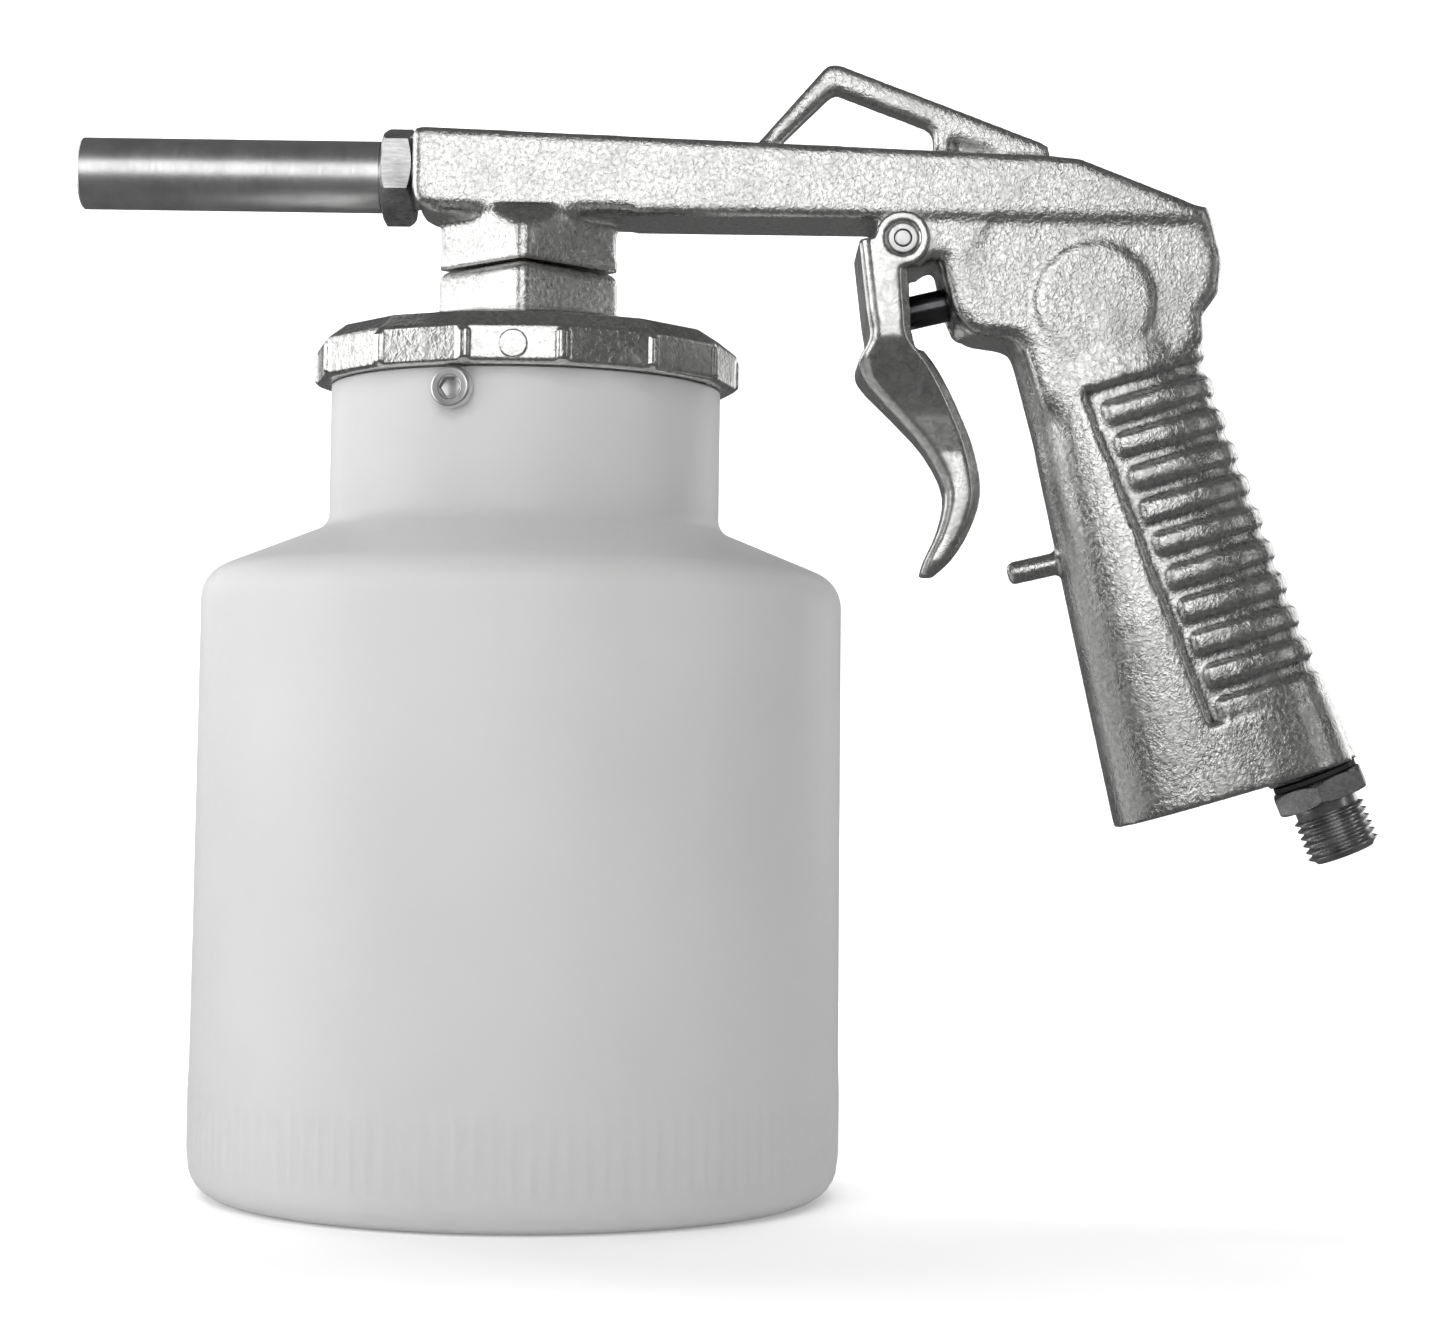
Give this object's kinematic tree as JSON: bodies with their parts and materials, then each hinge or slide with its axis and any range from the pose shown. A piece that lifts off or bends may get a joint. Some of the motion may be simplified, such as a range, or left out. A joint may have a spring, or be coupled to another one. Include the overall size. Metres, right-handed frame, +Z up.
{
  "type": "suction-feed air gun",
  "caption": "Suction-feed air gun: cast pistol body with nozzle tube, hanging hook, lever trigger and valve, over a plastic bottle held by a faceted clamp ring.",
  "frame": {"origin": "centre of the ring that the bottle stands on, on the underside of the bottle", "axes": "+Z up the bottle's axis, -X along the nozzle, +X towards the grip"},
  "size_m": [0.2353, 0.116, 0.204],
  "materials": {
    "cast_body": "bright die-cast aluminium with a fine pebbled skin",
    "cast_ring": "rough bright casting",
    "cast_trigger": "polished casting",
    "turned_lid": "cast, cone turned to a mirror finish",
    "turned_steel": "bright plated turned steel",
    "dark_steel": "dark polished steel",
    "brass": "turned brass",
    "bottle_plastic": "blow-moulded natural polyethylene, slightly see-through",
    "tube_plastic": "extruded polyethylene tube",
    "seal_rubber": "black nitrile rubber",
    "fibre": "red vulcanised fibre"
  },
  "bodies": {
    "gun": {"gun_body": "cast_body", "duct_plug": "cast_body", "nozzle_tube": "turned_steel", "nozzle_lock_nut": "turned_steel", "air_jet": "brass", "air_jet_washer": "fibre", "lid": "turned_lid", "lid_seal": "seal_rubber", "joint_washer": "fibre", "union_screw": "brass", "suction_tube": "tube_plastic", "trigger_pin": "turned_steel", "trigger_pin_clip_near": "dark_steel", "trigger_pin_clip_far": "dark_steel", "valve_gland_nut": "brass", "valve_packing": "seal_rubber", "valve_seat": "brass", "valve_rear_plug": "turned_steel", "valve_spring": "turned_steel", "air_inlet_nipple": "turned_steel", "air_inlet_washer": "fibre"},
    "trigger": {"trigger": "cast_trigger"},
    "valve": {"valve_stem": "dark_steel", "valve_seal": "seal_rubber"},
    "clamp_ring": {"clamp_ring": "cast_ring", "clamp_ring_pin_front": "cast_ring", "clamp_ring_pin_back": "cast_ring"},
    "bottle": {"bottle": "bottle_plastic", "bottle_vent_screw": "turned_steel", "bottle_vent_washer": "seal_rubber", "bottle_vent_nut": "turned_steel"}
  },
  "joints": [
    {"name": "trigger_pull", "type": "hinge", "parent": "gun", "child": "trigger", "pos_m": [0.067, 0, 0.1705], "axis": [0, -1, 0], "range_deg": [0, 11], "stiffness_Nm_per_rad": 0.34, "springref_deg": -21.77},
    {"name": "valve_slide", "type": "slide", "parent": "gun", "child": "valve", "axis": [0.9724, 0, 0.2334], "range_m": [0, 0.0025], "deforming": ["valve_spring"]},
    {"name": "clamp_ring_turn", "type": "hinge", "parent": "gun", "child": "clamp_ring", "pos_m": [0, 0, 0.149], "axis": [0, 0, 1], "range_deg": [0, 540]},
    {"name": "bottle_lift_off", "type": "slide", "parent": "gun", "child": "bottle", "axis": [0, 0, -1], "range_m": [0, 0.15]}
  ],
  "couplings": [
    {"joint": "valve_slide", "follows": "trigger_pull", "m_per_rad": 0.013}
  ]
}
